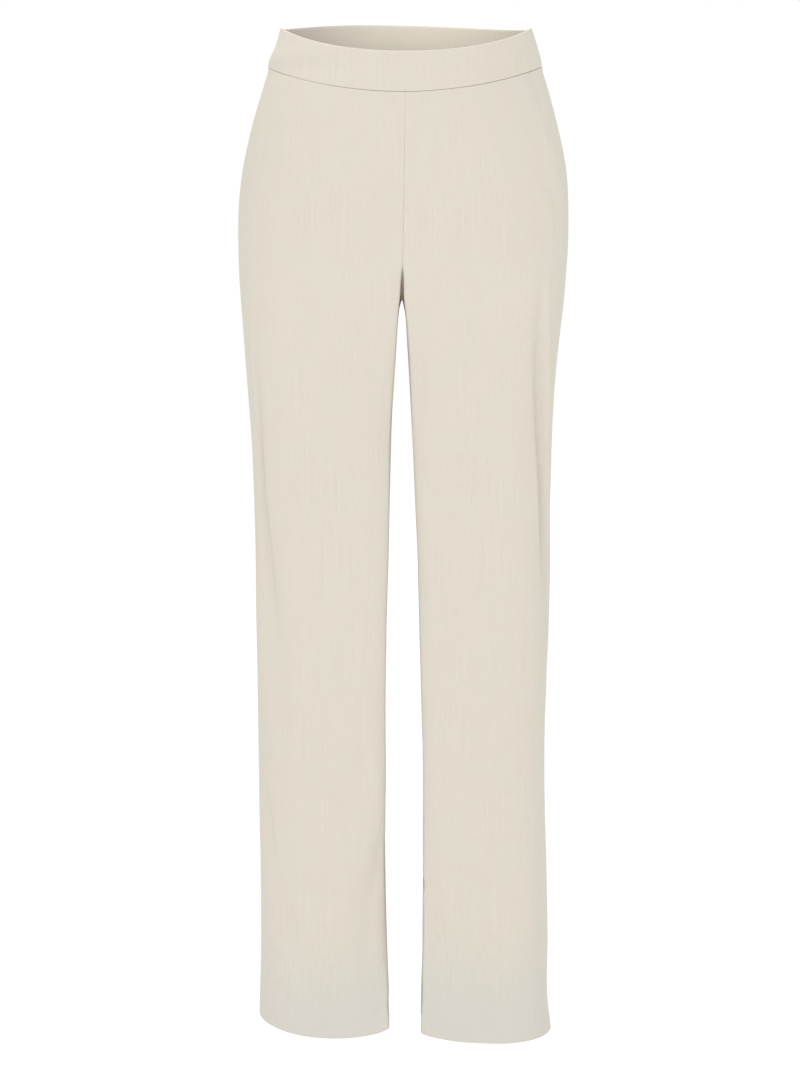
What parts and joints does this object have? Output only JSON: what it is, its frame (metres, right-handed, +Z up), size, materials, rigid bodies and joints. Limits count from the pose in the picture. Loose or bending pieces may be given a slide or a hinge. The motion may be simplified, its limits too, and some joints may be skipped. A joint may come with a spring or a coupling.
{
  "type": "wide leg trousers",
  "caption": "Pull-on trousers with wide straight legs and a shaped waistband, filled out as if worn and open at the waist and hems.",
  "frame": {"origin": "middle of the waist opening, level with the waistband's top edge at the side seams, where the wearer's waist holds the garment", "axes": "+Z up, the front faces -Y, the wearer's left side is at +X"},
  "size_m": [0.3465, 0.2361, 1.0708],
  "materials": {
    "suiting": "matte cream suiting with fine slubs along the warp"
  },
  "bodies": {
    "root": {"waistband_front": "suiting", "waistband_back": "suiting", "front_right": "suiting", "front_left": "suiting", "back_right": "suiting", "back_left": "suiting"}
  },
  "joints": []
}
